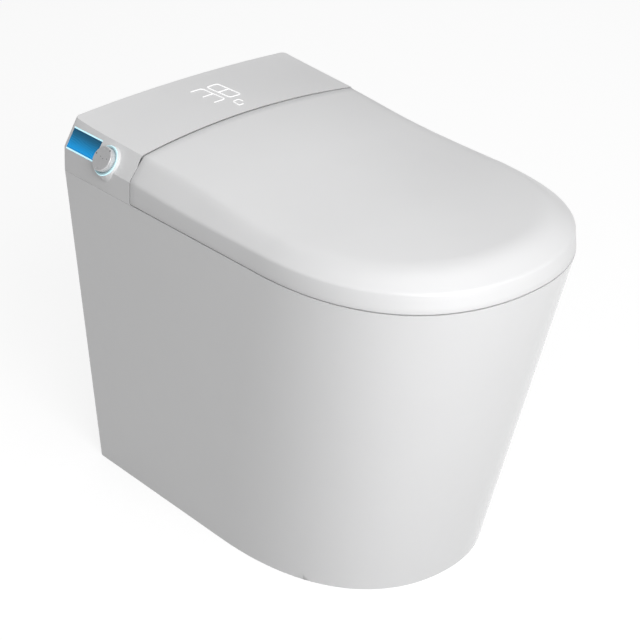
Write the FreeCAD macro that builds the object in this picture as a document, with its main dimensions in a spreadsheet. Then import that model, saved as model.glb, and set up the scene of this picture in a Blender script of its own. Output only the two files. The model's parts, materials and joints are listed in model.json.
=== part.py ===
import FreeCAD, Part
import math
import os
import Sketcher
from FreeCAD import Placement, Rotation, Vector

# Smart toilet with a heated seat, in millimetres. +Z is up and the front looks to -Y.
# The origin is the centre of the drain outlet on the floor, one rough-in ahead of the rear face.

os.makedirs("parts", exist_ok=True)
doc = FreeCAD.newDocument("smart_toilet")
dims = doc.addObject("Spreadsheet::Sheet", "dims")
nodes = []

DRIVING_DIMENSIONS = (
    # body outline, seen from above
    ("half_width", 200, "half of the width at the rim"),
    ("rear_face", 300, "flat back, one rough-in behind the outlet"),
    ("front_tip", 336, "front of the rim, ahead of the outlet"),
    ("side_end", 99, "where the straight sides end and the front curve starts"),
    ("foot_half_width", 172, "half of the width at the floor"),
    ("foot_tip", 221, "front of the foot"),
    ("foot_side_end", -20, "where the straight sides of the foot end"),
    ("corner", 8, "radius of the rear corners"),
    ("fullness", 0.632, "how square the front curve is: 0.552 is an ellipse"),
    # ceramic pan
    ("pan_height", 448.4, "top of the ceramic rim"),
    ("pan_wall", 14, "ceramic wall"),
    ("deck", 24, "ceramic rim and rear deck"),
    ("bowl_wall", 12, "wall of the bowl and the trapway"),
    ("bowl_centre", 112, "centre of the bowl opening, ahead of the outlet"),
    ("bowl_half_width", 132, "bowl opening at the rim"),
    ("bowl_half_length", 174, "bowl opening at the rim"),
    ("trap_radius", 27, "bore of the trapway"),
    ("notch_width", 180, "service notch at the foot of the rear wall"),
    ("notch_height", 120, "service notch at the foot of the rear wall"),
    # housing and lid
    ("upper_base", 450, "underside of the housing and the lid skirt"),
    ("seam_centre", 167, "seam between lid and housing, on the centre line"),
    ("seam_side", 154, "the same seam at the sides"),
    ("seam_gap", 1.4, "open width of that seam"),
    ("cover_wall", 3, "moulded wall"),
    ("bevel", 40, "run of the shoulder bevel before the crown cuts it"),
    # hinge
    ("hinge_y", 142, "seat and lid hinge axis"),
    ("hinge_z", 496, "seat and lid hinge axis"),
    ("pin_radius", 3, "hinge pins and damper shafts"),
    ("pin_fit", 0.05, "running fit of the pins"),
    ("post_in", 69, "inner face of the hinge posts"),
    ("post_out", 109, "outer face of the hinge posts"),
    ("barrel", 7.3, "outer radius of the hinge barrels"),
    # seat
    ("seat_half_width", 189, "seat ring outline"),
    ("seat_tip", 325, "front of the seat ring"),
    ("seat_rear", 120, "rear edge of the seat ring"),
    ("seat_low", 454, "underside of the seat"),
    ("seat_split", 463, "joint between the lower and upper seat shells"),
    ("seat_high", 473.5, "top of the seat"),
    ("opening_half_width", 108, "seat opening"),
    ("opening_front", 254, "seat opening"),
    ("opening_rear", 44, "seat opening"),
    # wash nozzle, along its own sloping line
    ("nozzle_y", 110, "tip of the parked wand"),
    ("nozzle_z", 424, "tip of the parked wand"),
    ("nozzle_slope", 20, "slope of the wand"),
    ("wand_radius", 8, "wand"),
    ("wand_length", 182, "wand with its tip"),
    ("tip_length", 20, "spray tip"),
    ("tooth_module", 1, "rack and pinion"),
    ("pinion_teeth", 16, "rack and pinion"),
    ("pinion_station", 88, "pinion behind the parked tip, along the wand"),
    ("backlash", 0.24, "taken off each tooth's thickness"),
    ("gear_width", 6, "rack and pinion"),
    # dryer
    ("blower_x", 70, "fan axis"),
    ("blower_y", 232, "fan axis"),
    ("blower_radius", 33, "fan casing"),
    ("impeller_radius", 24, "fan wheel"),
    # control knob, on the left shoulder
    ("knob_x", -194, "centre of the knob's base"),
    ("knob_y", 208.6, "centre of the knob's base"),
    ("knob_z", 489, "centre of the knob's base"),
    ("knob_tilt", 53.13, "knob axis, away from upright"),
    ("knob_radius", 16.5, "knob"),
    ("knob_height", 8.5, "knob above its ring"),
    ("halo_radius", 20, "light ring round the knob"),
    # light panel, behind the knob
    ("panel_front", 233, "light panel, along the shoulder"),
    ("panel_rear", 292, "light panel, along the shoulder"),
    ("panel_low", 484, "light panel, lower edge"),
    ("panel_high", 505, "light panel, upper edge"),
    # water inlet
    ("inlet_x", -50, "water inlet stud"),
    ("inlet_z", 80, "water inlet stud"),
    ("inlet_radius", 10.48, "half-inch parallel pipe thread, outside"),
    ("flush_x", 14, "flush hose and its port in the bowl's rear wall"),
    ("flush_z", 350, "flush hose and its port in the bowl's rear wall"),
    ("flush_bore", 6.5, "flush hose, inside"),
    ("flush_wall", 1.7, "flush hose"),
    ("gland_x", 60, "cord gland in the rear wall"),
    ("gland_z", 150, "cord gland in the rear wall"),
)

for row, (alias, number, note) in enumerate(DRIVING_DIMENSIONS, start=1):
    dims.set("A%d" % row, alias)
    dims.set("B%d" % row, str(number))
    dims.set("C%d" % row, note)
    dims.setAlias("B%d" % row, alias)
doc.recompute()


def size(expression):
    """The number that a sheet expression stands for."""
    return float(dims.evalExpression(expression))


HALF_WIDTH = size("half_width")
REAR = size("rear_face")
TIP = -size("front_tip")
SIDE_END = -size("side_end")
CORNER = size("corner")
PAN_TOP = size("pan_height")
HINGE = Vector(0, size("hinge_y"), size("hinge_z"))
X_AXIS = Vector(1, 0, 0)
Y_AXIS = Vector(0, 1, 0)
Z_AXIS = Vector(0, 0, 1)


# ---- parametric bodies -------------------------------------------------------

def bound(expression):
    """The same expression, written for a cell outside the sheet."""
    words = expression.replace("(", " ( ").replace(")", " ) ").split()
    names = [w for w in words if w[0].isalpha() and w not in ("sin", "cos")]
    text = " ".join("dims." + w if w in names else w for w in words)
    return text.replace("sin (", "sin(").replace("cos (", "cos(")


def new_body(label, place=("0", "0", "0"), rotation=None):
    body = doc.addObject("PartDesign::Body", label)
    body.Label = label
    if rotation:
        body.Placement = Placement(Vector(), rotation)
    for axis, expression in zip("xyz", place):
        body.setExpression("Placement.Base." + axis, bound(expression))
    nodes.append(body)
    return body


def sketch_on(body, plane, offset="0"):
    sketch = body.newObject("Sketcher::SketchObject", "Sketch")
    origin = [item for item in body.Origin.OriginFeatures if item.Role == plane]
    sketch.AttachmentSupport = [(origin[0], "")]
    sketch.MapMode = "FlatFace"
    sketch.setExpression("AttachmentOffset.Base.z", bound(offset))
    return sketch


def pin_down(sketch, kind, geometry, point, expression):
    """Hold one coordinate of a sketch point at a sheet size."""
    rule = Sketcher.Constraint(kind, -1, 1, geometry, point, size(expression))
    index = sketch.addConstraint(rule)
    sketch.setExpression("Constraints[%d]" % index, bound(expression))


def polygon(sketch, corners):
    """A closed outline whose corners are pairs of sheet expressions."""
    places = [Vector(size(x), size(y), 0) for x, y in corners]
    first = sketch.GeometryCount
    count = len(places)
    for i in range(count):
        sketch.addGeometry(Part.LineSegment(places[i], places[(i + 1) % count]), False)
    for i in range(count):
        sketch.addConstraint(
            Sketcher.Constraint("Coincident", first + i, 2, first + (i + 1) % count, 1))
    for i, (x, y) in enumerate(corners):
        pin_down(sketch, "DistanceX", first + i, 1, x)
        pin_down(sketch, "DistanceY", first + i, 1, y)


def rectangle(sketch, left, low, right, high):
    polygon(sketch, ((left, low), (right, low), (right, high), (left, high)))


def circle(sketch, x, y, radius):
    index = sketch.addGeometry(
        Part.Circle(Vector(size(x), size(y), 0), Z_AXIS, size(radius)), False)
    pin_down(sketch, "DistanceX", index, 3, x)
    pin_down(sketch, "DistanceY", index, 3, y)
    rule = sketch.addConstraint(Sketcher.Constraint("Radius", index, size(radius)))
    sketch.setExpression("Constraints[%d]" % rule, bound(radius))


def feature(body, kind, sketch, **settings):
    item = body.newObject("PartDesign::" + kind, kind)
    item.Profile = sketch
    for name, setting in settings.items():
        setattr(item, name, setting)
    return item


def pad(body, sketch, length, **settings):
    item = feature(body, "Pad", sketch, **settings)
    item.setExpression("Length", bound(length))
    return item


def pocket(body, sketch, length, **settings):
    """Cut a sketch away, and make sure that it did cut."""
    doc.recompute()
    before = body.Shape.Volume
    item = feature(body, "Pocket", sketch, **settings)
    item.setExpression("Length", bound(length))
    doc.recompute()
    if body.Shape.Volume > before - 1:
        item.Reversed = not item.Reversed
        doc.recompute()
    if body.Shape.Volume > before - 1:
        raise RuntimeError(body.Label + ": a pocket cuts nothing")
    return item


def turned(body, corners):
    """Turn a closed (radius, height) outline round the body's Z axis."""
    sketch = sketch_on(body, "XZ_Plane")
    polygon(sketch, corners)
    return feature(body, "Revolution", sketch, ReferenceAxis=(sketch, ["V_Axis"]), Angle=360)


def round_edges(body, direction, radius, keep=lambda edge: True):
    """Fillet the straight edges that run along one direction."""
    doc.recompute()
    base = body.Tip
    names = []
    for number, edge in enumerate(base.Shape.Edges, start=1):
        if edge.Curve.TypeId != "Part::GeomLine":
            continue
        if abs(edge.Curve.Direction.dot(direction)) > 0.999 and keep(edge):
            names.append("Edge%d" % number)
    item = body.newObject("PartDesign::Fillet", "Fillet")
    item.Base = (base, names)
    item.Radius = radius
    doc.recompute()
    return item


def polar(body, originals, count):
    """Repeat features round the body's Z axis."""
    doc.recompute()
    axis = [item for item in body.Origin.OriginFeatures if item.Role == "Z_Axis"][0]
    pattern = body.newObject("PartDesign::PolarPattern", "PolarPattern")
    pattern.Originals = originals
    pattern.Axis = (axis, [""])
    pattern.Angle = 360
    pattern.Occurrences = count
    body.Tip = pattern
    return pattern


# ---- free-form solids --------------------------------------------------------

def shaped(label, shape):
    """A sub-part whose shape comes from curves and lofts rather than sketches."""
    part = doc.addObject("Part::Feature", label)
    part.Label = label
    part.Shape = shape
    nodes.append(part)
    return part


def bezier(*poles):
    curve = Part.BezierCurve()
    curve.setPoles([Vector(*pole) for pole in poles])
    return curve.toShape()


def level(height):
    return lambda y: height


def along(*stations):
    """A height that runs straight between (y, z) stations, from rear to front."""
    def height(y):
        for (y0, z0), (y1, z1) in zip(stations, stations[1:]):
            if y >= y1 or (y1, z1) == stations[-1]:
                return z0 + (z1 - z0) * (y - y0) / (y1 - y0)
    return height


def plan_outline(half, straight, tip, rear, height, corner=CORNER):
    """The body's outline from above: flat back, straight sides, full round front."""
    fullness = size("fullness")
    reach = (straight - tip) * fullness
    third = (rear - corner - straight) / 3
    side = [rear - corner, rear - corner - third, straight + third, straight]
    right = [(half, y, height(y)) for y in side]
    left = [(-x, y, z) for x, y, z in reversed(right)]
    front = [(half, straight), (half, straight - reach), (half * fullness, tip), (0, tip)]
    bow = [(x, y, height(y)) for x, y in front]
    mirrored = [(-x, y, z) for x, y, z in reversed(bow)]
    back = height(rear)
    edges = [
        bezier(*right),
        bezier(*bow),
        bezier(*mirrored),
        bezier(*left),
        bezier((-half, rear - corner, height(rear - corner)), (-half, rear, back),
               (-half + corner, rear, back)),
        bezier((-half + corner, rear, back), (half - corner, rear, back)),
        bezier((half - corner, rear, back), (half, rear, back),
               (half, rear - corner, height(rear - corner))),
    ]
    return Part.Wire(edges)


def box(x0, y0, z0, x1, y1, z1):
    return Part.makeBox(x1 - x0, y1 - y0, z1 - z0, Vector(x0, y0, z0))


def rod(radius, start, end):
    """A round bar between two points."""
    return Part.makeCylinder(radius, (end - start).Length, start, end - start)


def prism(points, direction):
    """A flat outline pushed along a direction."""
    wire = Part.makePolygon([Vector(*p) for p in points] + [Vector(*points[0])])
    return Part.Face(wire).extrude(direction)


def one_solid(shape):
    shape = shape.removeSplitter()
    if len(shape.Solids) != 1:
        raise RuntimeError("expected one solid, got %d" % len(shape.Solids))
    return shape.Solids[0]


BAND_LINE = along((292, 480.5), (160, 479.4), (40, 474.8), (-99, 474.5), (-336, 474.5))
RIDGE_LINE = along((292, 540), (160, 522), (40, 506.2), (-99, 502.1), (-296, 496))
CROWN_HALF = 176
CROWN = (
    # station along Y, height over the shoulder line, height on the centre line
    (312, 516.9, 522.3),
    (162, 506.5, 515.0),
    (66, 500.0, 508.5),
    (-18, 493.5, 502.0),
    (-78, 490.8, 499.0),
    (-178, 489.3, 496.5),
    (-348, 486.5, 491.5),
)


def crown_section(y, shoulder, centre, drop):
    """One cross-section below the crowned top, wider than the body."""
    half = HALF_WIDTH + 10
    edge = centre - (centre - shoulder) * (half / CROWN_HALF) ** 2 - drop
    floor = size("upper_base") - 40
    left, right = Vector(-half, y, edge), Vector(half, y, edge)
    arc = Part.Arc(left, Vector(0, y, centre - drop), right).toShape()
    low_right, low_left = Vector(half, y, floor), Vector(-half, y, floor)
    sides = [Part.makeLine(right, low_right), Part.makeLine(low_right, low_left),
             Part.makeLine(low_left, left)]
    return Part.Wire([arc] + sides)


def upper_block(inset):
    """Housing and lid as one block, moved inwards all round by a wall."""
    drop = inset / 2
    base = size("upper_base") - (12 if inset > 0 else 0)
    rear = REAR - inset
    bevel = size("bevel")
    draft = 2
    steps = (
        (0, level(base)),
        (draft, lambda y: BAND_LINE(y) - drop),
        (bevel, lambda y: RIDGE_LINE(y) - drop),
        (bevel, level(600)),
    )
    wires = [plan_outline(HALF_WIDTH - inset - run, SIDE_END, TIP + inset + run, rear, height)
             for run, height in steps]
    block = Part.makeLoft(wires, True, True)
    crown = Part.makeLoft([crown_section(*row, inset) for row in CROWN], True, False)
    return one_solid(block.common(crown))


def seam_block(shift):
    """Everything behind the bowed seam line, moved to the front by a shift."""
    bow = size("seam_centre - seam_side")
    radius = (HALF_WIDTH ** 2 + bow ** 2) / (2 * bow)
    centre = size("seam_centre") - shift - radius
    ahead = Part.makeCylinder(radius, 400, Vector(0, centre, 300))
    return box(-260, 60, 300, 260, 400, 700).cut(ahead)


def barrel(extra):
    """The space that the lid's rear edge sweeps as it turns on the hinge."""
    def at(x, radius):
        return Vector(x, HINGE.y, HINGE.z + radius)

    # half width and radius where the crown meets the shoulder bevel, then down the bevel
    profile = [(173.8, 19.5 + extra), (181, 15.7 + extra), (184, 15.2 + extra), (184, 0)]
    edge_x, edge_radius = profile[0]
    arc = Part.Arc(at(-edge_x, edge_radius), at(0, 32.4 + extra), at(edge_x, edge_radius))
    corners = [at(x, r) for x, r in profile] + [at(-x, r) for x, r in reversed(profile)]
    sides = [Part.makeLine(a, b) for a, b in zip(corners, corners[1:])]
    return Part.Face(Part.Wire([arc.toShape()] + sides)).revolve(HINGE, X_AXIS, 360)


UPPER = upper_block(0)
UPPER_INNER = upper_block(size("cover_wall"))


# ---- ceramic pan -------------------------------------------------------------

def pan_outline(z, inset):
    """The pan's outline at one height, between the foot and the rim."""
    share = z / PAN_TOP
    half = size("foot_half_width") + share * size("half_width - foot_half_width")
    tip = -size("foot_tip") - share * size("front_tip - foot_tip")
    end = -size("foot_side_end") - share * size("side_end - foot_side_end")
    corner = max(CORNER - inset, 3)
    return plan_outline(half - inset, end, tip + inset, REAR - inset, level(z), corner)


def bowl(extra):
    """The bowl as a smooth loft of ovals, from above the rim down to the sump."""
    top = PAN_TOP + 1 if extra == 0 else PAN_TOP - 10
    centre = -size("bowl_centre")
    half_width, half_length = size("bowl_half_width"), size("bowl_half_length")
    ovals = (
        # height, centre along Y, share of the opening's width and length
        (top, centre, 1.00, 1.00),
        (400, centre, 0.97, 0.965),
        (330, centre + 6, 0.85, 0.84),
        (260, centre + 26, 0.61, 0.575),
        (205 - extra / 2, centre + 50, 0.364, 0.31),
        (192 - extra, centre + 54, 0.23, 0.195),
    )
    wires = []
    for z, y, across, lengthwise in ovals:
        a, b = half_width * across + extra, half_length * lengthwise + extra
        end, side = Vector(0, y + b, z), Vector(a, y, z)
        if a > b:
            end, side = side, end
        wires.append(Part.Wire([Part.Ellipse(end, side, Vector(0, y, z)).toShape()]))
    return Part.makeLoft(wires, True, False)


def trapway(radius, first, last):
    """A round tube along the S-shaped trap: sump, dip, weir, outlet."""
    corners = (
        # y, z and bend radius
        (-65, 225, 0), (15, 190, 45), (80, 352, 42), (145, 190, 50), (0, 95, 60), (0, last, 0))
    points = [Vector(0, y, z) for y, z, bend in corners]
    points[0] = points[0] + (points[1] - points[0]).normalize() * first
    edges = []
    start = points[0]
    for i in range(1, len(points) - 1):
        before = (points[i - 1] - points[i]).normalize()
        after = (points[i + 1] - points[i]).normalize()
        half_angle = before.getAngle(after) / 2
        bend = corners[i][2]
        tangent = bend / math.tan(half_angle)
        middle = (before + after).normalize() * (bend / math.sin(half_angle) - bend)
        enter, leave = points[i] + before * tangent, points[i] + after * tangent
        edges.append(Part.makeLine(start, enter))
        edges.append(Part.Arc(enter, points[i] + middle, leave).toShape())
        start = leave
    edges.append(Part.makeLine(start, points[-1]))
    path = Part.Wire(edges)
    ring = Part.Wire([Part.makeCircle(radius, points[0], points[1] - points[0])])
    return path.makePipeShell([ring], True, False)


def channel(depth, near, far, x0, x1, top):
    """A sloping block under the nozzle line, its floor at a depth below that line."""
    slope = math.tan(math.radians(size("nozzle_slope")))
    floor = size("nozzle_z") - depth
    low = floor + (near - size("nozzle_y")) * slope
    high = floor + (far - size("nozzle_y")) * slope
    outline = [(x0, near, low), (x0, far, high), (x0, far, top), (x0, near, top)]
    return prism(outline, Vector(x1 - x0, 0, 0))


def make_ceramic():
    """The glazed body, in three pieces that meet face to face: pan, bowl and trapway.

    The bowl's rear wall round the nozzle channel belongs to the pan.
    """
    wall, deck, thick = size("pan_wall"), size("deck"), size("bowl_wall")
    outer = Part.makeLoft([pan_outline(0, 0), pan_outline(PAN_TOP, 0)], True, True)
    hollow = Part.makeLoft([pan_outline(-1, wall), pan_outline(PAN_TOP - deck, wall)], True, True)
    support = channel(29.6, 58, 190, -44, 68, PAN_TOP - deck + 1)
    slot = channel(15.6, 40, 218, -30, 56, PAN_TOP + 5)
    surround = channel(42, 16, 110, -58, 84, PAN_TOP + 5)
    bowl_outside, bowl_inside = bowl(thick), bowl(0)
    tube = trapway(size("trap_radius") + thick, 30, 10)
    bore = trapway(size("trap_radius"), 0, 5)
    port = [Vector(size("flush_x"), y, size("flush_z")) for y in (30, SPIGOT_END)]
    port_radius = size("flush_bore + flush_wall") + 0.2

    pan = outer.cut(hollow).fuse(support).cut(bowl_outside)
    pan = pan.fuse(bowl_outside.common(surround)).cut([bowl_inside, slot])
    half_notch = size("notch_width / 2")
    pan = pan.cut(box(-half_notch, REAR - 30, -5, half_notch, REAR + 5, size("notch_height")))
    pan = pan.cut(box(-150, 252, PAN_TOP - 40, -90, 284, PAN_TOP + 5))
    x, z = size("gland_x"), size("gland_z")
    pan = pan.cut(rod(7.2, Vector(x, REAR - 20, z), Vector(x, REAR + 5, z)))
    for x, y in BOLT_PLACES:
        pan = pan.cut(Part.makeCylinder(4.5, 60, Vector(x, y, PAN_TOP - 40)))
    shaped("ceramic_pan", one_solid(pan))

    basin = bowl_outside.fuse(rod(port_radius + 5, *port))
    basin = basin.cut([bowl_inside, bore, surround, rod(port_radius, *port)])
    shaped("ceramic_bowl", one_solid(basin))
    shaped("ceramic_trapway", one_solid(tube.cut([bowl_outside, bore])))


BOLT_PLACES = ((-60, 266), (110, 270))
SPIGOT_END = 76


def make_floor_seal():
    body = new_body("floor_seal")
    horn = "trap_radius + bowl_wall + 0.3"
    turned(body, (("28", "0"), ("54", "0"), ("54", "8"), ("46", "16"), (horn, "16"),
                  (horn, "9.7"), ("28", "9.7")))


# ---- housing -----------------------------------------------------------------

def make_base_plate():
    """Chassis plate on the ceramic deck: a fork round the nozzle channel."""
    body = new_body("base_plate", ("0", "0", "pan_height"))
    plate = sketch_on(body, "XY_Plane")
    polygon(plate, (
        ("-193", "158"), ("-140", "158"), ("-140", "126"), ("-30", "126"), ("-30", "220"),
        ("56", "220"), ("56", "126"), ("140", "126"), ("140", "158"), ("193", "158"),
        ("193", "295"), ("-193", "295")))
    pad(body, plate, "3")
    round_edges(body, Z_AXIS, 6, lambda edge: edge.CenterOfMass.y > 290)
    openings = sketch_on(body, "XY_Plane")
    rectangle(openings, "-150", "252", "-90", "284")
    for x, y in BOLT_PLACES:
        circle(openings, str(x), str(y), "4.3")
    pocket(body, openings, "10", Reversed=True)
    bosses = sketch_on(body, "XY_Plane", "3")
    for x, y in SCREW_PLACES:
        circle(bosses, str(x), str(y), "4")
    pad(body, bosses, "20")
    holes = sketch_on(body, "XY_Plane", "-1")
    for x, y in SCREW_PLACES:
        circle(holes, str(x), str(y), "1.5")
    pocket(body, holes, "40", Reversed=True)


SCREW_PLACES = ((-184, 168), (184, 168), (-184, 286), (184, 286))


def make_base_fasteners():
    """Hex bolts that hold the chassis to the deck, with their nuts underneath."""
    bolts, nuts = [], []
    top = PAN_TOP + 3
    for x, y in BOLT_PLACES:
        def hexagon(across, z, height):
            corner = across / 2 / math.cos(math.pi / 6)
            turns = [i * math.pi / 3 for i in range(6)]
            ring = [(x + corner * math.cos(a), y + corner * math.sin(a), z) for a in turns]
            return prism(ring, Vector(0, 0, height))
        shank = Part.makeCylinder(4, 40, Vector(x, y, top - 40))
        bolts.append(one_solid(shank.fuse(hexagon(13, top, 5.3))))
        nut = hexagon(14, PAN_TOP - size("deck") - 7, 7)
        nuts.append(nut.cut(Part.makeCylinder(4, 20, Vector(x, y, top - 45))))
    shaped("base_bolts", Part.makeCompound(bolts))
    shaped("base_nuts", Part.makeCompound(nuts))


KNOB = Vector(size("knob_x"), size("knob_y"), size("knob_z"))
KNOB_TURN = Rotation(Y_AXIS, -size("knob_tilt"))
KNOB_AXIS = KNOB_TURN.multVec(Z_AXIS)


def knob_point(height):
    return KNOB + KNOB_AXIS * height


def panel_prism(low, high, front, rear):
    """A bar through the shoulder bevel, square to it, between two heights."""
    across = Vector(-0.8, 0, 0.6)
    down = Vector(-0.6, 0, -0.8)
    foot = Vector(-HALF_WIDTH, 0, size("panel_low"))
    start = foot - down * ((low - size("panel_low")) / 0.8) - across * 12
    end = foot - down * ((high - size("panel_low")) / 0.8) - across * 12
    ring = [(start.x, front, start.z), (end.x, front, end.z),
            (end.x, rear, end.z), (start.x, rear, start.z)]
    return prism(ring, across * 24)


def digit_bars():
    """Seven-segment bars of a two-digit temperature, read from the front and leaning."""
    lit = {"3": "abgcd", "8": "abcdefg"}
    pitch, wide, tall, stroke, lean = 27.4, 18.5, 42, 1.7, 5.7
    half = stroke / 2
    ends = {
        # bar: both ends, in shares of the digit's width and height
        "a": (0, 1, 1, 1), "b": (1, 0.5, 1, 1), "c": (1, 0, 1, 0.5), "d": (0, 0, 1, 0),
        "e": (0, 0, 0, 0.5), "f": (0, 0.5, 0, 1), "g": (0, 0.5, 1, 0.5)}
    bars = []
    for place, digit in enumerate("38"):
        foot_x, foot_y = place * pitch - 14.7, 216
        for name in lit[digit]:
            left, low, right, high = ends[name]
            x0, x1 = left * wide, right * wide
            y0, y1 = low * tall, high * tall
            if name in "adg":
                corners = [(x0 + stroke, y0 - half), (x1 - stroke, y0 - half),
                           (x1 - stroke, y0 + half), (x0 + stroke, y0 + half)]
            else:
                corners = [(x0 - half, y0 + stroke), (x0 + half, y0 + stroke),
                           (x0 + half, y1 - stroke), (x0 - half, y1 - stroke)]
            ring = [(foot_x + x - lean * y / tall, foot_y + y, 500) for x, y in corners]
            bars.append(prism(ring, Vector(0, 0, 40)))
    return bars


def make_housing_cover():
    wall = size("cover_wall")
    shell = UPPER.common(seam_block(-size("seam_gap / 2")))
    front = 172
    hollow = UPPER_INNER.common(box(-260, front + wall, 300, 260, 400, 700))
    cover = shell.cut(hollow.cut(barrel(wall))).cut(barrel(0))
    hinge_bay = box(-260, 100, 440, 260, front, HINGE.z + 6)
    plate_room = box(-194, 100, 440, 194, front + wall + 1, PAN_TOP + 3.3)
    nozzle_port = box(-32, 120, 440, 58, front + wall + 1, 470)
    cover = cover.cut(hinge_bay.common(UPPER_INNER)).cut(plate_room).cut(nozzle_port)
    boss = Part.makeCone(26, 20.6, 16, knob_point(-16), KNOB_AXIS)
    cover = cover.fuse(boss.cut(hollow))
    cover = cover.cut(rod(20.2, knob_point(-2.4), knob_point(20)))
    cover = cover.cut(rod(4.5, knob_point(-30), knob_point(20)))
    low, high = size("panel_low"), size("panel_high")
    cover = cover.cut(panel_prism(low - 1.6, high + 1.6, size("panel_front"), size("panel_rear")))
    shaped("housing_cover", one_solid(cover))


def make_light_panel():
    """Blue glass in the shoulder, with a glowing guide along its two long edges."""
    low, high = size("panel_low"), size("panel_high")
    front, rear = size("panel_front") + 0.1, size("panel_rear") - 0.1
    skin = UPPER.cut(upper_block(2.6))
    glass = skin.common(panel_prism(low, high, front, rear))
    shaped("light_panel_lens", one_solid(glass))
    guides = [one_solid(skin.common(panel_prism(z0, z1, front, rear)))
              for z0, z1 in ((low - 1.5, low - 0.1), (high + 0.1, high + 1.5))]
    shaped("light_panel_guides", Part.makeCompound(guides))
    strip = panel_prism(low + 1, high - 1, front + 2, rear - 2)
    depth = upper_block(5).cut(upper_block(6.4))
    shaped("light_panel_strip", one_solid(depth.common(strip)))


def make_display():
    """Number bars on the crown, over a light block and its circuit board."""
    bars = [bar.common(upper_block(-0.4)).cut(UPPER) for bar in digit_bars()]
    shaped("display_digits", Part.makeCompound([one_solid(bar) for bar in bars]))
    block = box(-28, 204, 509.6, 40, 268, 540).common(upper_block(size("cover_wall") + 0.2))
    shaped("display_diffuser", one_solid(block))
    board = new_body("display_board", ("0", "0", "508"))
    outline = sketch_on(board, "XY_Plane")
    rectangle(outline, "-34", "198", "46", "274")
    pad(board, outline, "1.6")
    parts = sketch_on(board, "XY_Plane")
    rectangle(parts, "-28", "206", "-18", "214")
    rectangle(parts, "20", "252", "40", "262")
    pad(board, parts, "2.5", Reversed=True)
    posts = sketch_on(board, "XY_Plane", "1.6")
    circle(posts, "-31", "201", "1.8")
    circle(posts, "43", "201", "1.8")
    pad(board, posts, "0.8")


# ---- knob --------------------------------------------------------------------

def knob_body(label, height):
    """A body whose Z axis is the knob's axis, standing at a height on it."""
    place = ("knob_x - ( %s ) * sin ( knob_tilt )" % height, "knob_y",
             "knob_z + ( %s ) * cos ( knob_tilt )" % height)
    return new_body(label, place, KNOB_TURN)


def make_knob():
    halo = knob_body("knob_halo", "-2.3")
    turned(halo, (("17.4", "0"), ("halo_radius", "0"), ("halo_radius", "3"),
                  ("halo_radius - 0.8", "3.6"), ("17.4", "3.6")))
    shaft = knob_body("knob_shaft", "-13")
    turned(shaft, (("0", "0"), ("3", "0"), ("3", "18.6"), ("2.5", "19.1"), ("0", "19.1")))
    cap = knob_body("knob_cap", "-1")
    turned(cap, (("3.05", "0"), ("knob_radius", "0"), ("knob_radius", "knob_height + 0.2"),
                 ("knob_radius - 0.8", "knob_height + 1"), ("0", "knob_height + 1"),
                 ("0", "8.3"), ("3.05", "8.3")))
    marks = sketch_on(cap, "XY_Plane", "knob_height + 1")
    for x in ("-13.6", "12.0"):
        rectangle(marks, x, "-2.4", x + " + 1.6", "2.4")
    pocket(cap, marks, "0.5")
    encoder = knob_body("knob_encoder", "-22")
    case = sketch_on(encoder, "XY_Plane")
    rectangle(case, "-7", "-7", "7", "7")
    pad(encoder, case, "7")
    neck = sketch_on(encoder, "XY_Plane", "7")
    circle(neck, "0", "0", "4.2")
    pad(encoder, neck, "6")
    bore = sketch_on(encoder, "XY_Plane", "8.8")
    circle(bore, "0", "0", "3.05")
    pocket(encoder, bore, "10", Reversed=True)


# ---- hinge -------------------------------------------------------------------

def make_hinge():
    """Two posts on the chassis; each holds a damper and a pin on one shared axis."""
    pin, fit = size("pin_radius"), size("pin_fit")
    inner, outer, radius = size("post_in"), size("post_out"), size("barrel")
    for name, side in (("left", -1), ("right", 1)):
        foot_z = PAN_TOP + 3
        x0, x1 = sorted((side * inner, side * outer))
        web = prism([(x0, HINGE.y - 12, foot_z), (x0, HINGE.y + 4, foot_z),
                     (x0, HINGE.y + radius - 0.3, HINGE.z), (x0, HINGE.y - radius + 0.3, HINGE.z)],
                    Vector(x1 - x0, 0, 0))
        foot = box(x0 - 6, HINGE.y - 14, foot_z, x1 + 6, HINGE.y + 14, foot_z + 4)
        head = rod(radius, Vector(x0, HINGE.y, HINGE.z), Vector(x1, HINGE.y, HINGE.z))
        post = web.fuse([foot, head])
        bore = rod(pin + fit, Vector(x0 - 1, HINGE.y, HINGE.z), Vector(x1 + 1, HINGE.y, HINGE.z))
        split = side * (inner + 25) if side < 0 else side * (outer - 25)
        mouth = side * inner if side < 0 else side * outer
        room = rod(5.3, Vector(mouth, HINGE.y, HINGE.z), Vector(split, HINGE.y, HINGE.z))
        shaped("hinge_post_" + name, one_solid(post.cut(bore).cut(room)))
        far = side * 56 if side < 0 else side * 120
        body_end = mouth + (0.3 if mouth > split else -0.3)
        damper = rod(5.2, Vector(body_end, HINGE.y, HINGE.z), Vector(split, HINGE.y, HINGE.z))
        shaft = rod(pin, Vector(body_end, HINGE.y, HINGE.z), Vector(far, HINGE.y, HINGE.z))
        shaped(("seat" if side < 0 else "lid") + "_damper", one_solid(damper.fuse(shaft)))
        other = side * 120 if side < 0 else side * 56
        gap = split + (0.5 if other > split else -0.5)
        shaped("hinge_pin_" + name,
               rod(pin, Vector(other, HINGE.y, HINGE.z), Vector(gap, HINGE.y, HINGE.z)))


# ---- seat --------------------------------------------------------------------

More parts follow.
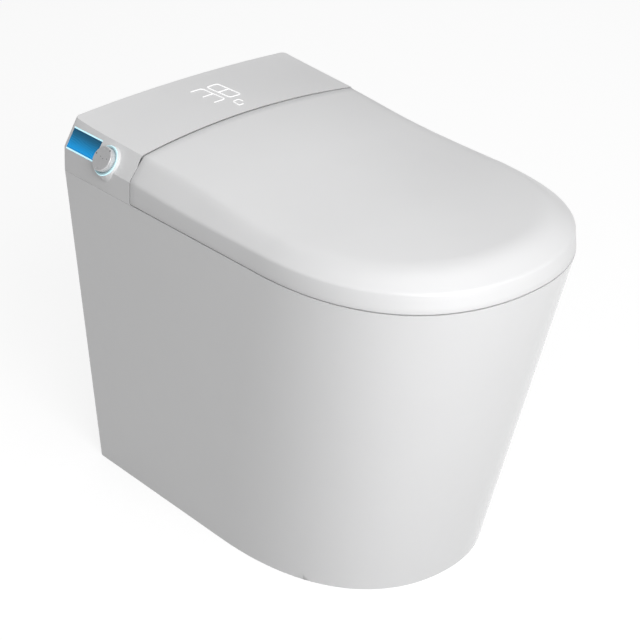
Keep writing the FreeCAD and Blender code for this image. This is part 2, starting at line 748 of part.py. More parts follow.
def seat_ring(low, high, grow_out, grow_in):
    """The seat ring between two heights; grow moves both outlines outwards."""
    def outer(z, extra):
        return plan_outline(size("seat_half_width") + extra, SIDE_END, -size("seat_tip") - extra,
                            size("seat_rear"), level(z), 14)
    body = Part.makeLoft([outer(low, grow_out[0]), outer(high, grow_out[1])], True, True)
    front, rear = -size("opening_front"), size("opening_rear")
    half, middle = size("opening_half_width"), -70

    def opening(z, extra):
        a = half + extra
        f, r = front - extra, rear + extra
        k = 0.552
        return Part.Wire([
            bezier((a, middle, z), (a, middle + k * (f - middle), z), (k * a, f, z), (0, f, z)),
            bezier((0, f, z), (-k * a, f, z), (-a, middle + k * (f - middle), z), (-a, middle, z)),
            bezier((-a, middle, z), (-a, middle + k * (r - middle), z), (-k * a, r, z), (0, r, z)),
            bezier((0, r, z), (k * a, r, z), (a, middle + k * (r - middle), z), (a, middle, z))])
    hole = Part.makeLoft([opening(low - 1, grow_in[0]), opening(high + 1, grow_in[1])], True, True)
    return body.cut(hole)


def arm(x0, x1, shape_low, shape_high, bore):
    """A hinge arm from the seat's rear edge up to the barrel on the axis."""
    radius = size("barrel") - 0.3
    rear = size("seat_rear")
    web = prism([(x0, rear - 8, shape_low), (x0, rear + 1, shape_low),
                 (x0, HINGE.y + radius - 0.4, HINGE.z - 2), (x0, HINGE.y - radius + 0.4, HINGE.z + 2),
                 (x0, rear + 0.6, shape_high), (x0, rear - 8, shape_high)],
                Vector(x1 - x0, 0, 0))
    head = rod(radius, Vector(x0, HINGE.y, HINGE.z), Vector(x1, HINGE.y, HINGE.z))
    hole = rod(bore, Vector(x0 - 1, HINGE.y, HINGE.z), Vector(x1 + 1, HINGE.y, HINGE.z))
    return web.fuse(head).cut(hole)


def make_seat():
    low, split, high = size("seat_low"), size("seat_split"), size("seat_high")
    bore = size("pin_radius + pin_fit")
    lower = seat_ring(low, split, (-5, 0), (3, 0))
    for side in (-1, 1):
        x0, x1 = sorted((side * 57, side * 68))
        lower = lower.fuse(arm(x0, x1, low + 3, split, bore))
    groove = seat_ring(split - 1.2, split + 2, (-14, -14), (16, 16))
    shaped("seat_base", one_solid(lower.cut(groove)))
    shaped("seat_heater", one_solid(seat_ring(split - 1, split, (-14.6, -14.6), (16.6, 16.6))))
    upper = seat_ring(split, high, (0, -4.5), (0, 7))
    shaped("seat_top", one_solid(upper))
    pads = []
    for x, y in PAD_PLACES:
        pads.append(Part.makeCone(8, 7, low - PAN_TOP - 0.2, Vector(x, y, PAN_TOP + 0.2)))
    shaped("seat_bumpers", Part.makeCompound(pads))


PAD_PLACES = ((-150, 60), (150, 60), (-135, -190), (135, -190))


# ---- lid ---------------------------------------------------------------------

def make_lid():
    wall = size("cover_wall")
    half = HALF_WIDTH + 60
    ahead = box(-half, TIP - 60, 300, half, 400, 700).cut(seam_block(size("seam_gap / 2")))
    shell = UPPER.common(ahead).cut(UPPER_INNER)
    heel = prism([(-half, 170, 448), (-half, 149.8, 448), (-half, 170, 468.2)],
                 Vector(2 * half, 0, 0))
    shaped("lid_shell", one_solid(shell.cut(heel)))
    tray = upper_block(wall + 0.3).cut(upper_block(wall + 2.5)).common(ahead)
    inner_ahead = box(-half, TIP - 60, 478, half, 400, 700).cut(seam_block(size("seam_gap / 2") + 3))
    tray = tray.common(inner_ahead)
    bore = size("pin_radius + pin_fit")
    radius = size("barrel") - 0.3
    for side in (-1, 1):
        x0, x1 = sorted((side * 110, side * 120))
        web = box(x0, HINGE.y - radius, HINGE.z, x1, HINGE.y + radius, 520)
        head = rod(radius - 0.3, Vector(x0, HINGE.y, HINGE.z), Vector(x1, HINGE.y, HINGE.z))
        lug = web.common(upper_block(wall + 0.4)).fuse(head)
        tray = tray.fuse(lug)
        tray = tray.cut(rod(bore, Vector(x0 - 2, HINGE.y, HINGE.z), Vector(x1 + 2, HINGE.y, HINGE.z)))
    shaped("lid_liner", one_solid(tray))
    pads = []
    under = upper_block(wall + 2.6)
    for x, y in LID_PAD_PLACES:
        stem = Part.makeCylinder(6, 40, Vector(x, y, size("seat_high") + 0.3))
        pads.append(one_solid(stem.common(under)))
    shaped("lid_bumpers", Part.makeCompound(pads))


LID_PAD_PLACES = ((-150, 60), (150, 60), (-120, -205), (120, -205))


# ---- wash nozzle -------------------------------------------------------------

NOZZLE_TURN = Rotation(X_AXIS, size("nozzle_slope"))
NOZZLE_HOME = Vector(0, size("nozzle_y"), size("nozzle_z"))
NOZZLE_PLACE = Placement(NOZZLE_HOME, NOZZLE_TURN)


def on_nozzle(label, shape, at=Vector()):
    """A piece drawn along the wand's own line: Y runs back up it, Z is square to it."""
    part = shaped(label, shape)
    part.Placement = NOZZLE_PLACE.multiply(Placement(at, Rotation()))
    return part


def rack():
    """Straight rack along Y, standing on the wand."""
    module = size("tooth_module")
    pitch = math.pi * module
    pitch_line = size("wand_radius") + 2.5
    thick = pitch / 2 - size("backlash")
    lean = math.tan(math.radians(20))
    root, tip = pitch_line - 1.25 * module, pitch_line + module
    start, end = size("tip_length") + 2, size("wand_length") - 0.5
    half = size("gear_width / 2")
    points = [(-half, start, root - 3), (-half, start, root)]
    station = size("pinion_station")
    count_back = int((station - start - pitch) / pitch)
    count_ahead = int((end - station - pitch) / pitch)
    for k in range(-count_back, count_ahead + 1):
        middle = station + k * pitch
        foot = thick / 2 + (pitch_line - root) * lean
        head = thick / 2 - (tip - pitch_line) * lean
        points += [(-half, middle - foot, root), (-half, middle - head, tip),
                   (-half, middle + head, tip), (-half, middle + foot, root)]
    points += [(-half, end, root), (-half, end, root - 3)]
    return prism(points, Vector(2 * half, 0, 0))


def pinion_outline():
    """Points of the pinion's outline about its centre, with a gap straight below."""
    module, teeth = size("tooth_module"), int(size("pinion_teeth"))
    pitch_radius = module * teeth / 2
    root, tip = pitch_radius - 1.2 * module, pitch_radius + module
    base = pitch_radius * math.cos(math.radians(20))
    thick = (math.pi * module / 2 - size("backlash")) / pitch_radius

    def involute(radius):
        if radius <= base:
            return 0.0
        roll = math.sqrt((radius / base) ** 2 - 1)
        return roll - math.atan(roll)
    at_pitch = involute(pitch_radius)
    radii = [root, base] + [base + (tip - base) * i / 4 for i in range(1, 5)]
    half_angles = [thick / 2 + at_pitch - involute(radius) for radius in radii]
    points = []
    for k in range(teeth):
        middle = -math.pi / 2 + (k + 0.5) * 2 * math.pi / teeth
        rising = [(r, middle - a) for r, a in zip(radii, half_angles)]
        falling = [(r, middle + a) for r, a in reversed(list(zip(radii, half_angles)))]
        points += [(r * math.cos(a), r * math.sin(a)) for r, a in rising + falling]
    return points


PINION_Z = size("wand_radius + 2.5 + tooth_module * pinion_teeth / 2 + 0.1")


def make_nozzle():
    radius, length, tip = size("wand_radius"), size("wand_length"), size("tip_length")
    station = size("pinion_station")
    tube = Part.makeCylinder(radius, length - tip, Vector(0, tip, 0), Y_AXIS)
    tube = tube.fuse(rack()).cut(Part.makeCylinder(4, length, Vector(0, tip + 4, 0), Y_AXIS))
    on_nozzle("nozzle_wand", one_solid(tube))
    head = Part.makeCylinder(radius - 0.3, tip, Vector(0, 0, 0), Y_AXIS)
    head = head.cut(box(-4, 3, radius - 1.6, 4, 14, radius + 1))
    for y in (5, 8.5, 12):
        head = head.cut(Part.makeCylinder(0.8, 12, Vector(0, y, -2)))
    on_nozzle("nozzle_tip", one_solid(head))
    shield = box(-11, -3, -11, 11, 0, 12)
    tall = [edge for edge in shield.Edges if abs(edge.tangentAt(0).dot(Y_AXIS)) > 0.9]
    on_nozzle("nozzle_shield", shield.makeFillet(3.5, tall))

    gear = prism([(-size("gear_width / 2"), y, z) for y, z in pinion_outline()],
                 Vector(size("gear_width"), 0, 0))
    hub = rod(1.5, Vector(3, 0, 0), Vector(11.5, 0, 0))
    on_nozzle("nozzle_pinion", one_solid(gear.fuse(hub)), Vector(0, station, PINION_Z))

    shoe = 11.3
    trough = Part.makeCylinder(shoe, length, Vector(0, 3, 0), Y_AXIS)
    trough = trough.cut(Part.makeCylinder(radius + 0.3, length + 20, Vector(0, -5, 0), Y_AXIS))
    trough = trough.common(box(-20, 0, -20, 20, length + 20, 3))
    cheek = box(8.6, station - 8, 0, shoe, station + 8, PINION_Z)
    cheek = cheek.fuse(rod(11, Vector(8.6, station, PINION_Z), Vector(shoe, station, PINION_Z)))
    cheek = cheek.cut(rod(1.8, Vector(0, station, PINION_Z), Vector(20, station, PINION_Z)))
    cradle = trough.fuse(cheek)
    cradle.Placement = NOZZLE_PLACE
    floor = PAN_TOP + 3
    stand = box(-26, 222, floor, 26, 282, floor + 2.5)
    for x in (-3, 18):
        stand = stand.fuse(box(x - 21, 224, floor, x - 18 + 6, 280, 500))
    below = Part.makeCylinder(shoe, 400, Vector(0, -100, 0), Y_AXIS)
    below = below.fuse(box(-40, -100, 0, 40, 300, 200))
    below.Placement = NOZZLE_PLACE
    stand = stand.cut(below)
    shaped("nozzle_cradle", one_solid(cradle.fuse(stand)))

    motor = rod(11, Vector(shoe, station, PINION_Z), Vector(26, station, PINION_Z))
    motor = motor.cut(rod(1.8, Vector(11, station, PINION_Z), Vector(14, station, PINION_Z)))
    on_nozzle("nozzle_motor", motor)


# ---- dryer -------------------------------------------------------------------

def make_dryer():
    place = ("blower_x", "blower_y", "pan_height + 3")
    casing = new_body("dryer_casing", place)
    disc = sketch_on(casing, "XY_Plane")
    circle(disc, "0", "0", "blower_radius")
    pad(casing, disc, "31")
    snout = sketch_on(casing, "XY_Plane", "4")
    rectangle(snout, "0 - blower_radius", "0 - blower_radius - 8", "-12", "0")
    pad(casing, snout, "25")
    room = sketch_on(casing, "XY_Plane", "2.5")
    circle(room, "0", "0", "blower_radius - 2.5")
    pocket(casing, room, "26", Reversed=True)
    passage = sketch_on(casing, "XY_Plane", "6.5")
    rectangle(passage, "0 - blower_radius + 2.5", "0 - blower_radius - 9", "-14.5", "-4")
    pocket(casing, passage, "20", Reversed=True)
    intake = sketch_on(casing, "XY_Plane", "20")
    circle(intake, "0", "0", "14")
    pocket(casing, intake, "20", Reversed=True)

    wheel = new_body("dryer_impeller", place)
    hub = sketch_on(wheel, "XY_Plane", "8")
    circle(hub, "0", "0", "impeller_radius")
    pad(wheel, hub, "1.5")
    boss = sketch_on(wheel, "XY_Plane", "8")
    circle(boss, "0", "0", "5")
    pad(wheel, boss, "10")
    blade = sketch_on(wheel, "XY_Plane", "9")
    polygon(blade, (("15", "-1"), ("impeller_radius - 0.5", "3.5"),
                    ("impeller_radius - 0.6", "5"), ("15", "0.4")))
    first = pad(wheel, blade, "15")
    polar(wheel, [first], 18)
    bore = sketch_on(wheel, "XY_Plane", "2")
    circle(bore, "0", "0", "1.55")
    pocket(wheel, bore, "30", Reversed=True)

    motor = new_body("dryer_motor", place)
    turned(motor, (("0", "2.5"), ("11", "2.5"), ("11", "7"), ("1.5", "7"), ("1.5", "17.5"),
                   ("0", "17.5")))

    def duct_ring(y, low, high, shrink):
        x0, x1 = 37 + shrink, 55 - shrink
        ring = [Vector(x0, y, low + shrink), Vector(x1, y, low + shrink),
                Vector(x1, y, high - shrink), Vector(x0, y, high - shrink)]
        return Part.makePolygon(ring + [ring[0]])

    def duct(shrink, extra):
        mouth, knee, joint = 139 - extra, 176, 190.8 + extra
        stations = ((joint, 456, 480), (knee, 452, 468), (mouth, 441, 459))
        return Part.makeLoft([duct_ring(y, low, high, shrink) for y, low, high in stations],
                             True, True)
    pivot_y, pivot_z, pivot = 136.9, 461.2, 0.8
    tube = duct(0, 0)
    for x0, x1 in ((35.4, 37), (55, 56.6)):
        tube = tube.fuse(box(x0, pivot_y - 2, pivot_z - 5, x1, 144, pivot_z + 2))
    tube = tube.cut(duct(1.5, 0.01))
    tube = tube.fuse(rod(pivot, Vector(36, pivot_y, pivot_z), Vector(56, pivot_y, pivot_z)))
    shaped("dryer_duct", one_solid(tube))

    flap = box(37.2, pivot_y - 0.8, 441.5, 54.8, pivot_y + 0.8, pivot_z)
    left, right = Vector(37.2, pivot_y, pivot_z), Vector(54.8, pivot_y, pivot_z)
    flap = flap.fuse(rod(1.8, left, right)).cut(rod(pivot + size("pin_fit"), left, right))
    shaped("dryer_flap", one_solid(flap))


# ---- heater, boards and water ------------------------------------------------

def make_heater_and_board():
    tank = new_body("water_heater", ("-92", "218", "pan_height + 3"))
    outline = sketch_on(tank, "XY_Plane")
    rectangle(outline, "-44", "-28", "44", "28")
    pad(tank, outline, "38")
    round_edges(tank, Z_AXIS, 10)
    ports = sketch_on(tank, "XY_Plane", "38")
    circle(ports, "-30", "14", "4.5")
    circle(ports, "-14", "14", "4.5")
    pad(tank, ports, "9")
    feet = sketch_on(tank, "XY_Plane")
    rectangle(feet, "-50", "-8", "-40", "8")
    rectangle(feet, "40", "-8", "50", "8")
    pad(tank, feet, "3")

    board = new_body("control_board", ("150", "232", "pan_height + 3"))
    sheet = sketch_on(board, "XY_Plane", "8")
    rectangle(sheet, "-34", "-46", "34", "36")
    pad(board, sheet, "1.6")
    pillars = sketch_on(board, "XY_Plane")
    for x in ("-28", "28"):
        for y in ("-42", "32"):
            circle(pillars, x, y, "3")
    pad(board, pillars, "8")
    chips = sketch_on(board, "XY_Plane", "9.6")
    rectangle(chips, "-22", "-34", "4", "-14")
    rectangle(chips, "-20", "4", "-4", "26")
    circle(chips, "18", "-28", "6")
    circle(chips, "18", "-12", "6")
    circle(chips, "20", "14", "8")
    pad(board, chips, "14")


def make_water_side():
    """Inlet at the service notch, flush valve under the deck, and the hoses between."""
    place = ("inlet_x", "0", "inlet_z")
    inlet = new_body("inlet_connector", place, Rotation(X_AXIS, -90))
    turned(inlet, (("5", "258"), ("14", "258"), ("14", "270"), ("9.5", "270"), ("9.5", "274"),
                   ("inlet_radius", "275"), ("inlet_radius", "288"), ("9.6", "289"), ("5", "289")))
    bracket = box(-90, 250, 66, -10, 286, 70)
    bracket = bracket.fuse(box(-90, 282, 66, -10, 286, 160))
    bracket = bracket.fuse(box(-72, 262, 70, -28, 268, 82))
    x, z = size("inlet_x"), size("inlet_z")
    bracket = bracket.cut(rod(14.2, Vector(x, 240, z), Vector(x, 281, z)))
    bracket = bracket.cut(rod(12, Vector(x, 270, z), Vector(x, 300, z)))
    shaped("inlet_bracket", one_solid(bracket))

    top = PAN_TOP - size("deck")
    hanger = box(-80, 215, top - 3, -20, 284, top)
    hanger = hanger.fuse(box(-80, 215, top - 60, -77, 284, top))
    shaped("valve_bracket", one_solid(hanger.cut(box(-74, 256, top - 10, -46, 290, top + 5))))
    body = rod(17, Vector(-77, 232, 380), Vector(-33, 232, 380))
    coil = Part.makeCylinder(13, 28, Vector(-50, 232, 386))
    stub = Part.makeCylinder(8, 26, Vector(-50, 232, 348))
    bore, thick = size("flush_bore"), size("flush_wall")
    hose_start = Vector(-30, 232, 380)
    outlet = rod(bore - 0.1, Vector(-40, 232, 380), Vector(-18, 232, 380))
    valve = body.fuse([coil, stub, outlet])
    shaped("flush_valve", one_solid(valve))

    run = [Vector(-50, 258, 80), Vector(-50, 232, 80), Vector(-50, 232, 348)]
    shaped("supply_hose", hose(run, 26, 6))

    x, z = size("flush_x"), size("flush_z")
    run = [hose_start, Vector(x, 232, 380), Vector(x, 190, z), Vector(x, SPIGOT_END - 14, z)]
    tube = hose(run, 14, bore + thick).cut(hose(run, 14, bore))
    shaped("flush_hose", one_solid(tube))
    gland = new_body("cord_gland", ("gland_x", "284", "gland_z"), Rotation(X_AXIS, -90))
    turned(gland, (("3.5", "-6"), ("9", "-6"), ("9", "2"), ("7", "2"), ("7", "16"),
                   ("3.5", "16")))


def hose(points, bend, radius):
    """A round hose along straight runs with one tangent bend at each corner."""
    edges = []
    start = points[0]
    for i in range(1, len(points) - 1):
        before = (points[i - 1] - points[i]).normalize()
        after = (points[i + 1] - points[i]).normalize()
        half_angle = before.getAngle(after) / 2
        tangent = min(bend, 0.98 * (points[i] - start).Length) / math.tan(half_angle)
        turn = tangent * math.tan(half_angle)
        middle = (before + after).normalize() * (turn / math.sin(half_angle) - turn)
        enter, leave = points[i] + before * tangent, points[i] + after * tangent
        if (enter - start).Length > 0.01:
            edges.append(Part.makeLine(start, enter))
        edges.append(Part.Arc(enter, points[i] + middle, leave).toShape())
        start = leave
    edges.append(Part.makeLine(start, points[-1]))
    path = Part.Wire(edges)
    ring = Part.Wire([Part.makeCircle(radius, points[0], points[1] - points[0])])
    return path.makePipeShell([ring], True, False)


def make_cover_screws():
    screws = []
    for x, y in SCREW_PLACES:
        shank = Part.makeCylinder(1.45, 17, Vector(x, y, PAN_TOP + 7))
        head = Part.makeCylinder(3, 1, Vector(x, y, PAN_TOP + 23.05))
        screws.append(one_solid(shank.fuse(head)))
    shaped("cover_screws", Part.makeCompound(screws))


make_ceramic()
make_floor_seal()
make_base_plate()
make_base_fasteners()
make_housing_cover()
make_light_panel()
make_display()
make_knob()
make_hinge()
make_seat()
make_lid()
make_nozzle()
make_dryer()
make_heater_and_board()
make_water_side()
make_cover_screws()
doc.recompute()

for item in doc.Objects:
    if "Invalid" in item.State or "Error" in item.State:
        raise RuntimeError("%s did not build: %s" % (item.Label, item.State))
total = 0
for node in nodes:
    shape = node.Shape
    if shape.isNull() or not shape.isValid() or not shape.Solids:
        raise RuntimeError("%s has no valid solid" % node.Label)
    shape.exportStep("parts/%s.step" % node.Label)
    print("%-20s %d solid(s) %9.1f cm3" % (node.Label, len(shape.Solids), shape.Volume / 1000))
    total += 1
print("%d sub-parts" % total)
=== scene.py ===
import json
import math

import bmesh
import bpy
import numpy as np
from mathutils import Euler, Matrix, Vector


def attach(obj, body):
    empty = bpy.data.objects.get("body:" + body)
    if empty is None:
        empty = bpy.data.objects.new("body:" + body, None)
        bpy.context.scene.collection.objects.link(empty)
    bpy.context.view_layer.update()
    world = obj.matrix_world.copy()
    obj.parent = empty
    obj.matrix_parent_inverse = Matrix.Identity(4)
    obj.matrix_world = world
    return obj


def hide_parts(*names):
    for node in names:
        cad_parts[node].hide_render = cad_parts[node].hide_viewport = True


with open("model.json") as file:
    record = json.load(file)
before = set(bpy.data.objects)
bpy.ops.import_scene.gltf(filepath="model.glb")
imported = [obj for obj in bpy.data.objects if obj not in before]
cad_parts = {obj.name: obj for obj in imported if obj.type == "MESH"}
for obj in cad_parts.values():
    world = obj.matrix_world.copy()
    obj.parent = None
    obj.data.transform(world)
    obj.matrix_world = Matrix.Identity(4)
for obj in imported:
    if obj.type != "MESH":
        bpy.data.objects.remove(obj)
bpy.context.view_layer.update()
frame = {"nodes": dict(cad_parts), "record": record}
cad = frame["nodes"]
slotOf = {part["node"]: part["material_slot"] for part in frame["record"]["subparts"]}
print("frame loaded:", len(cad), "CAD pieces")


class Value:  # a node's socket that Python arithmetic can use
    def __init__(self, shader, socket):
        self.shader = shader
        self.socket = socket

    def maths(self, operation, *others):
        inputs = dict(enumerate((self,) + others))
        return self.shader.node("ShaderNodeMath", {"operation": operation}, inputs)

    def __add__(self, other):
        return self.maths("ADD", other)

    def __sub__(self, other):
        return self.maths("SUBTRACT", other)

    def __mul__(self, other):
        return self.maths("MULTIPLY", other)

    def __truediv__(self, other):
        return self.maths("DIVIDE", other)

    def __pow__(self, other):
        return self.maths("POWER", other)

    def __rsub__(self, other):
        return (self * -1) + other

    __radd__ = __add__

    def clamped(self):
        return self.maths("MAXIMUM", 0.0).maths("MINIMUM", 1.0)


class Tree:  # a node tree, filled one node at a time
    def __init__(self, tree):
        self.tree = tree
        self.tree.nodes.clear()

    def node(self, kind, settings, inputs, output=0):
        made = self.tree.nodes.new(kind)
        for key, setting in settings.items():
            if key == "stops":
                stops = made.color_ramp.elements
                while len(stops) < len(setting):
                    stops.new(0.5)
                for stop, (place, colour) in zip(stops, setting):
                    stop.position = place
                    stop.color = (*colour, 1)
            else:
                setattr(made, key, setting)
        for key, given in inputs.items():
            if isinstance(given, Value):
                self.tree.links.new(given.socket, made.inputs[key])
            else:
                made.inputs[key].default_value = given
        return Value(self, made.outputs[output]) if made.outputs else None


class Shader(Tree):  # one material and its nodes
    def __init__(self, name):
        self.material = bpy.data.materials.new(name)
        self.material.use_nodes = True
        super().__init__(self.material.node_tree)

    def place(self, location=(0, 0, 0), rotation=(0, 0, 0), scale=(1, 1, 1)):
        where = self.node("ShaderNodeTexCoord", {}, {}, "Object")
        return self.node("ShaderNodeMapping", {"vector_type": "TEXTURE"}, {
            "Vector": where, "Location": location, "Rotation": rotation, "Scale": scale})

    def noise(self, scale, detail=3.0, vector=None):
        vector = vector or self.node("ShaderNodeTexCoord", {}, {}, "Object")
        return self.node("ShaderNodeTexNoise", {}, {
            "Vector": vector, "Scale": scale, "Detail": detail})

    def mixed(self, share, first, second):
        return self.node("ShaderNodeMix", {"data_type": "RGBA"}, {
            0: share, 6: first, 7: second}, 2)

    def axes(self, vector):
        return [self.node("ShaderNodeSeparateXYZ", {}, {"Vector": vector}, axis) for axis in "XYZ"]

    def bump(self, height, strength, distance):
        return self.node("ShaderNodeBump", {}, {
            "Height": height, "Strength": strength, "Distance": distance})

    def surface(self, sockets):
        made = self.node("ShaderNodeBsdfPrincipled", {}, sockets)
        self.node("ShaderNodeOutputMaterial", {}, {"Surface": made})
        return self.material


def shade(colour, factor):
    return (*[channel * factor for channel in colour[:3]], 1)


def glazedMaterial(name, colour):
    s = Shader(name)
    drift = s.noise(7.0, 2.0)
    waves = s.noise(38.0, 2.0)
    return s.surface({
        "Base Color": s.mixed(drift, shade(colour, 0.985), shade(colour, 1.01)),
        "Roughness": 0.1 + s.noise(90.0) * 0.07,
        "Coat Weight": 0.35, "Coat Roughness": 0.05,
        "Normal": s.bump(waves, 0.05, 0.004)})


def mouldedMaterial(name, colour, roughness, grain=900.0, depth=0.06):
    s = Shader(name)
    tint = s.noise(11.0, 2.0)
    skin = s.noise(grain, 2.0)
    return s.surface({
        "Base Color": s.mixed(tint, shade(colour, 0.98), shade(colour, 1.012)),
        "Roughness": roughness - 0.04 + s.noise(60.0) * 0.08,
        "Coat Weight": 0.12, "Coat Roughness": 0.25,
        "Normal": s.bump(skin, depth, 0.0006)})


def rubberMaterial(name, colour):
    s = Shader(name)
    return s.surface({
        "Base Color": s.mixed(s.noise(80.0), shade(colour, 0.9), shade(colour, 1.08)),
        "Roughness": 0.62 + s.noise(240.0) * 0.2,
        "Normal": s.bump(s.noise(1500.0), 0.2, 0.0005)})


def brushedMaterial(name, colour, roughness):
    s = Shader(name)
    lines = s.noise(2200.0, 2.0, s.place(scale=(1, 1, 30)))
    return s.surface({
        "Base Color": s.mixed(lines, shade(colour, 0.88), shade(colour, 1.06)),
        "Metallic": 1.0,
        "Roughness": roughness + lines * 0.16,
        "Normal": s.bump(lines, 0.12, 0.0004)})


knob = {
    # its foot, its axis, and the height over its foot from which the face carries marks
    "foot": (-0.194, 0.2086, 0.489), "tilt": (0, math.radians(-53.13), 0), "face": 0.0079,
    # the dark marks: middle and half size in metres
    "marks": ((0.0032, 0.0131, 0.0009, 0.0012), (0.0136, -0.0086, 0.0016, 0.001),
              (0.0018, 0.0034, 0.0004, 0.001), (0.0004, -0.0022, 0.0004, 0.0011),
              (0.002, -0.0094, 0.0004, 0.001)),
    "ink": (0.1, 0.1, 0.105, 1),
    # the lit ring: radius where its bright rim starts, and the glow inside that
    "haloEdge": 0.0193, "haloInner": (0.03, 0.11, 0.13),
    # how sharp the edges of the marks and of the rim are, per metre
    "markEdge": 5000.0, "rimEdge": 4000.0,
}


# fine rings from turning about the knob's own axis, with its dark marks
def knobMaterial(name, colour):
    s = Shader(name)
    local = s.place(knob["foot"], knob["tilt"])
    x, y, z = s.axes(local)
    rings = s.node("ShaderNodeTexWave", {"wave_type": "RINGS", "rings_direction": "Z"}, {
        "Vector": local, "Scale": 620.0, "Distortion": 0.6, "Detail": 2.0}, "Fac")
    haze = s.noise(160.0, 3.0, local)
    metal = s.mixed(haze, shade(colour, 0.94), shade(colour, 1.04))
    dark = 0.0
    for markX, markY, halfX, halfY in knob["marks"]:
        wide = ((halfX - (x - markX).maths("ABSOLUTE")) * knob["markEdge"]).clamped()
        tall = ((halfY - (y - markY).maths("ABSOLUTE")) * knob["markEdge"]).clamped()
        dark = dark + wide * tall
    dark = dark.clamped() * ((z - knob["face"]) * knob["markEdge"]).clamped()
    return s.surface({
        "Base Color": s.mixed(dark, metal, knob["ink"]),
        "Metallic": 0.35 - dark * 0.3,
        "Roughness": 0.34 + haze * 0.1,
        "Normal": s.bump(rings, 0.08, 0.0003)})


def haloMaterial(name, colour, strength):  # the lit ring: bright at its outer edge only
    s = Shader(name)
    x, y = s.axes(s.place(knob["foot"], knob["tilt"]))[:2]
    radius = (x * x + y * y) ** 0.5
    rim = ((radius - knob["haloEdge"]) * knob["rimEdge"]).clamped()
    edge = s.mixed(s.noise(120.0, 2.0), shade(colour, 0.95), shade(colour, 1.0))
    return s.surface({
        "Base Color": (0.5, 0.62, 0.65, 1), "Roughness": 0.35 + rim * 0.1,
        "Emission Color": s.mixed(rim, shade(knob["haloInner"], 1), edge),
        "Emission Strength": strength})


def boardMaterial(name, colour):
    s = Shader(name)
    grid = s.node("ShaderNodeTexBrick", {}, {
        "Vector": s.place(scale=(0.05, 0.05, 0.05)), "Scale": 9.0, "Mortar Size": 0.03,
        "Color1": shade(colour, 1.0), "Color2": shade(colour, 0.8),
        "Mortar": (0.45, 0.34, 0.12, 1)}, "Color")
    return s.surface({
        "Base Color": grid, "Roughness": 0.35 + s.noise(300.0) * 0.2,
        "Normal": s.bump(s.noise(700.0), 0.15, 0.0004)})


def foilMaterial(name, colour):  # foil over a heating wire that runs to and fro under it
    s = Shader(name)
    wire = s.node("ShaderNodeTexWave", {"wave_profile": "SIN", "bands_direction": "X"}, {
        "Vector": s.place(), "Scale": 30.0, "Distortion": 3.0, "Detail": 1.0,
        "Detail Scale": 0.4}, "Fac")
    return s.surface({
        "Base Color": s.mixed(s.noise(50.0), shade(colour, 0.9), shade(colour, 1.05)),
        "Metallic": 1.0, "Roughness": 0.3 + s.noise(400.0) * 0.15,
        "Normal": s.bump(wire, 0.6, 0.0012)})


shoulder = {
    # the bevelled left shoulder that carries the light panel and the knob
    "foot": (-0.2, 0.2625, 0.484), "height": 0.026, "turn": math.radians(36.87),
    # colours up the shoulder, as shares of its height
    "ground": ((0.0, (0.0, 0.2, 0.5)), (0.1, (0.0, 0.3, 0.74)), (0.45, (0.004, 0.19, 0.43)),
               (0.75, (0.008, 0.1, 0.2)), (1.0, (0.01, 0.06, 0.115))),
    # the fine wavy strands across it
    "strand": (0.08, 0.42, 0.74), "strandTurn": math.radians(8), "strandStretch": (1, 2.2, 1),
    "strandFloor": 0.62, "strandGain": 2.6, "strandFade": 0.75, "strandShare": 0.6,
    "glow": 0.95,
}


def panelMaterial(name):  # local Z runs up the shoulder, local Y along it
    s = Shader(name)
    z = s.axes(s.place(shoulder["foot"], (0, shoulder["turn"], 0)))[2]
    rise = (z / shoulder["height"]).clamped()
    ground = s.node("ShaderNodeValToRGB", {"stops": shoulder["ground"]}, {"Fac": rise}, "Color")
    strands = s.node("ShaderNodeTexWave", {"bands_direction": "Z"}, {
        "Vector": s.place(shoulder["foot"], (shoulder["strandTurn"], shoulder["turn"], 0),
                          shoulder["strandStretch"]),
        "Scale": 130.0, "Distortion": 9.0, "Detail": 2.0, "Detail Scale": 0.7}, "Fac")
    thin = ((strands - shoulder["strandFloor"]) * shoulder["strandGain"]).clamped()
    thin = thin * (1.0 - rise * shoulder["strandFade"])
    return s.surface({
        "Base Color": (0.004, 0.015, 0.03, 1), "Roughness": 0.2, "Specular IOR Level": 0.15,
        "Emission Color": s.mixed(thin * shoulder["strandShare"], ground, (*shoulder["strand"], 1)),
        "Emission Strength": shoulder["glow"],
        "Normal": s.bump(s.noise(900.0), 0.03, 0.0003)})


def glowMaterial(name, colour, strength, base):
    s = Shader(name)
    soft = s.noise(120.0, 2.0)
    return s.surface({
        "Base Color": shade(base, 1), "Roughness": 0.3,
        "Emission Color": s.mixed(soft, shade(colour, 0.94), shade(colour, 1.0)),
        "Emission Strength": strength,
        "Normal": s.bump(s.noise(1200.0), 0.05, 0.0003)})


